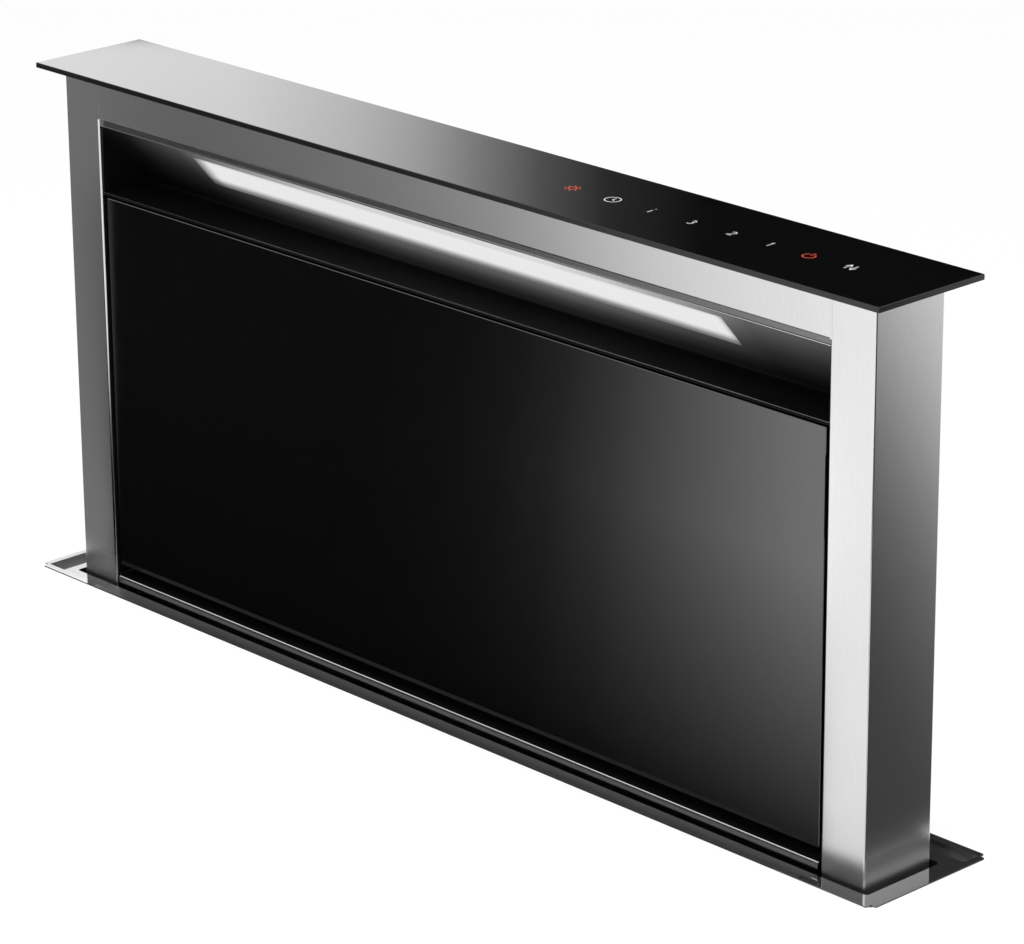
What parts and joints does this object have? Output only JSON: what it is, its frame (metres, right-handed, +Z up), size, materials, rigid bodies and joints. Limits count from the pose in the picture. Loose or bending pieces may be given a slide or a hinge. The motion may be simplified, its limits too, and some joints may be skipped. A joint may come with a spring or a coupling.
{
  "type": "downdraft vent",
  "caption": "Downdraft vent that rises out of a worktop: glass-topped tower with a light recess and a tilting glass front, lifted by twin screws, with a blower below.",
  "frame": {"origin": "worktop level, in the middle of the cut-out, which is under the middle of the lid", "axes": "+Z up, -Y towards the person who cooks, +X to that person's right"},
  "size_m": [0.905, 0.2634, 1.033],
  "materials": {
    "black_glass": "black-backed toughened glass",
    "pad_foam": "closed-cell foam",
    "brushed_steel": "satin, fine vertical grain",
    "tray_steel": "bright polished",
    "black_steel": "satin black",
    "diffuser": "opal",
    "filter_mesh": "expanded mesh",
    "black_plastic": "fine grain",
    "galvanised": "galvanised sheet",
    "machined_steel": "bright turned steel",
    "nut_brass": "turned",
    "pulley_metal": "turned",
    "belt_rubber": "moulded",
    "motor_black": "black enamel",
    "board_green": "solder mask",
    "driver_white": "moulded case",
    "magnet": "nickel-plated"
  },
  "bodies": {
    "housing": {"worktop_tray": "tray_steel", "housing_front": "galvanised", "housing_back": "galvanised", "housing_left_end": "galvanised", "housing_right_end": "galvanised", "housing_base": "galvanised", "clamp_brackets": "galvanised", "clamp_screws": "machined_steel", "left_guide_rail": "machined_steel", "right_guide_rail": "machined_steel", "screw_bearings": "machined_steel", "lift_motor": "motor_black", "drive_belt": "belt_rubber", "belt_cover": "galvanised", "limit_switches": "black_plastic", "scroll_wrap": "galvanised", "scroll_back_plate": "galvanised", "scroll_front_plate": "galvanised", "inlet_ring": "galvanised", "blower_motor": "motor_black", "outlet_adapter": "galvanised", "duct_collar": "galvanised", "control_box": "galvanised", "control_box_cover": "galvanised", "control_board": "board_green", "cable_gland": "black_plastic", "support_feet": "machined_steel"},
    "tower": {"lid_glass": "black_glass", "lid_pad": "pad_foam", "lid_frame": "galvanised", "touch_board": "board_green", "left_column": "brushed_steel", "right_column": "brushed_steel", "header_panel": "brushed_steel", "back_panel": "brushed_steel", "light_housing": "black_steel", "led_channel": "pulley_metal", "light_diffuser": "diffuser", "led_driver": "driver_white", "filter_frame": "black_steel", "grease_filter_left": "filter_mesh", "grease_filter_right": "filter_mesh", "bottom_rail": "brushed_steel", "carriage": "galvanised", "guide_shoes": "black_plastic", "lift_nuts": "nut_brass", "hinge_pins": "machined_steel", "panel_catches": "magnet"},
    "front_panel": {"front_glass": "black_glass", "glass_carrier": "black_steel"},
    "left_screw": {"left_lift_screw": "machined_steel", "left_screw_pulley": "pulley_metal"},
    "right_screw": {"right_lift_screw": "machined_steel", "right_screw_pulley": "pulley_metal"},
    "motor_shaft": {"motor_pulley": "pulley_metal"},
    "wheel": {"blower_wheel": "galvanised"},
    "front_flap": {"damper_flap_front": "galvanised"},
    "back_flap": {"damper_flap_back": "galvanised"},
    "left_latch": {"filter_latch_left": "black_plastic"},
    "right_latch": {"filter_latch_right": "black_plastic"}
  },
  "joints": [
    {"name": "tower_lift", "type": "slide", "parent": "housing", "child": "tower", "axis": [0, 0, 1], "range_m": [-0.4185, 0]},
    {"name": "left_screw_spin", "type": "hinge", "parent": "housing", "child": "left_screw", "pos_m": [-0.404, -0.0024, -0.3], "axis": [0, 0, 1], "range_deg": [-20, 7560]},
    {"name": "right_screw_spin", "type": "hinge", "parent": "housing", "child": "right_screw", "pos_m": [0.404, -0.0024, -0.3], "axis": [0, 0, 1], "range_deg": [-20, 7560]},
    {"name": "motor_shaft_spin", "type": "hinge", "parent": "housing", "child": "motor_shaft", "pos_m": [0.2, -0.0791, -0.55], "axis": [0, 0, 1], "range_deg": [-30, 11340]},
    {"name": "panel_tilt", "type": "hinge", "parent": "tower", "child": "front_panel", "pos_m": [0, -0.0251, 0.0205], "axis": [1, 0, 0], "range_deg": [0, 75]},
    {"name": "left_latch_press", "type": "slide", "parent": "tower", "child": "left_latch", "axis": [0, 0, -1], "range_m": [0, 0.006], "stiffness_N_per_m": 300, "springref_m": -0.002},
    {"name": "right_latch_press", "type": "slide", "parent": "tower", "child": "right_latch", "axis": [0, 0, -1], "range_m": [0, 0.006], "stiffness_N_per_m": 300, "springref_m": -0.002},
    {"name": "wheel_spin", "type": "hinge", "parent": "housing", "child": "wheel", "pos_m": [-0.15, -0.1, -0.25], "axis": [0, -1, 0], "continuous": true},
    {"name": "front_flap_swing", "type": "hinge", "parent": "housing", "child": "front_flap", "pos_m": [-0.353, -0.1256, -0.35979], "axis": [0, 0, -1], "range_deg": [0, 80], "stiffness_Nm_per_rad": 0.01, "springref_deg": -11.46},
    {"name": "back_flap_swing", "type": "hinge", "parent": "housing", "child": "back_flap", "pos_m": [-0.353, -0.1196, -0.35979], "axis": [0, 0, 1], "range_deg": [0, 80], "stiffness_Nm_per_rad": 0.01, "springref_deg": -11.46}
  ],
  "couplings": [
    {"joint": "left_screw_spin", "follows": "tower_lift", "rad_per_m": -314.16},
    {"joint": "right_screw_spin", "follows": "tower_lift", "rad_per_m": -314.16},
    {"joint": "motor_shaft_spin", "follows": "tower_lift", "rad_per_m": -471.24}
  ]
}
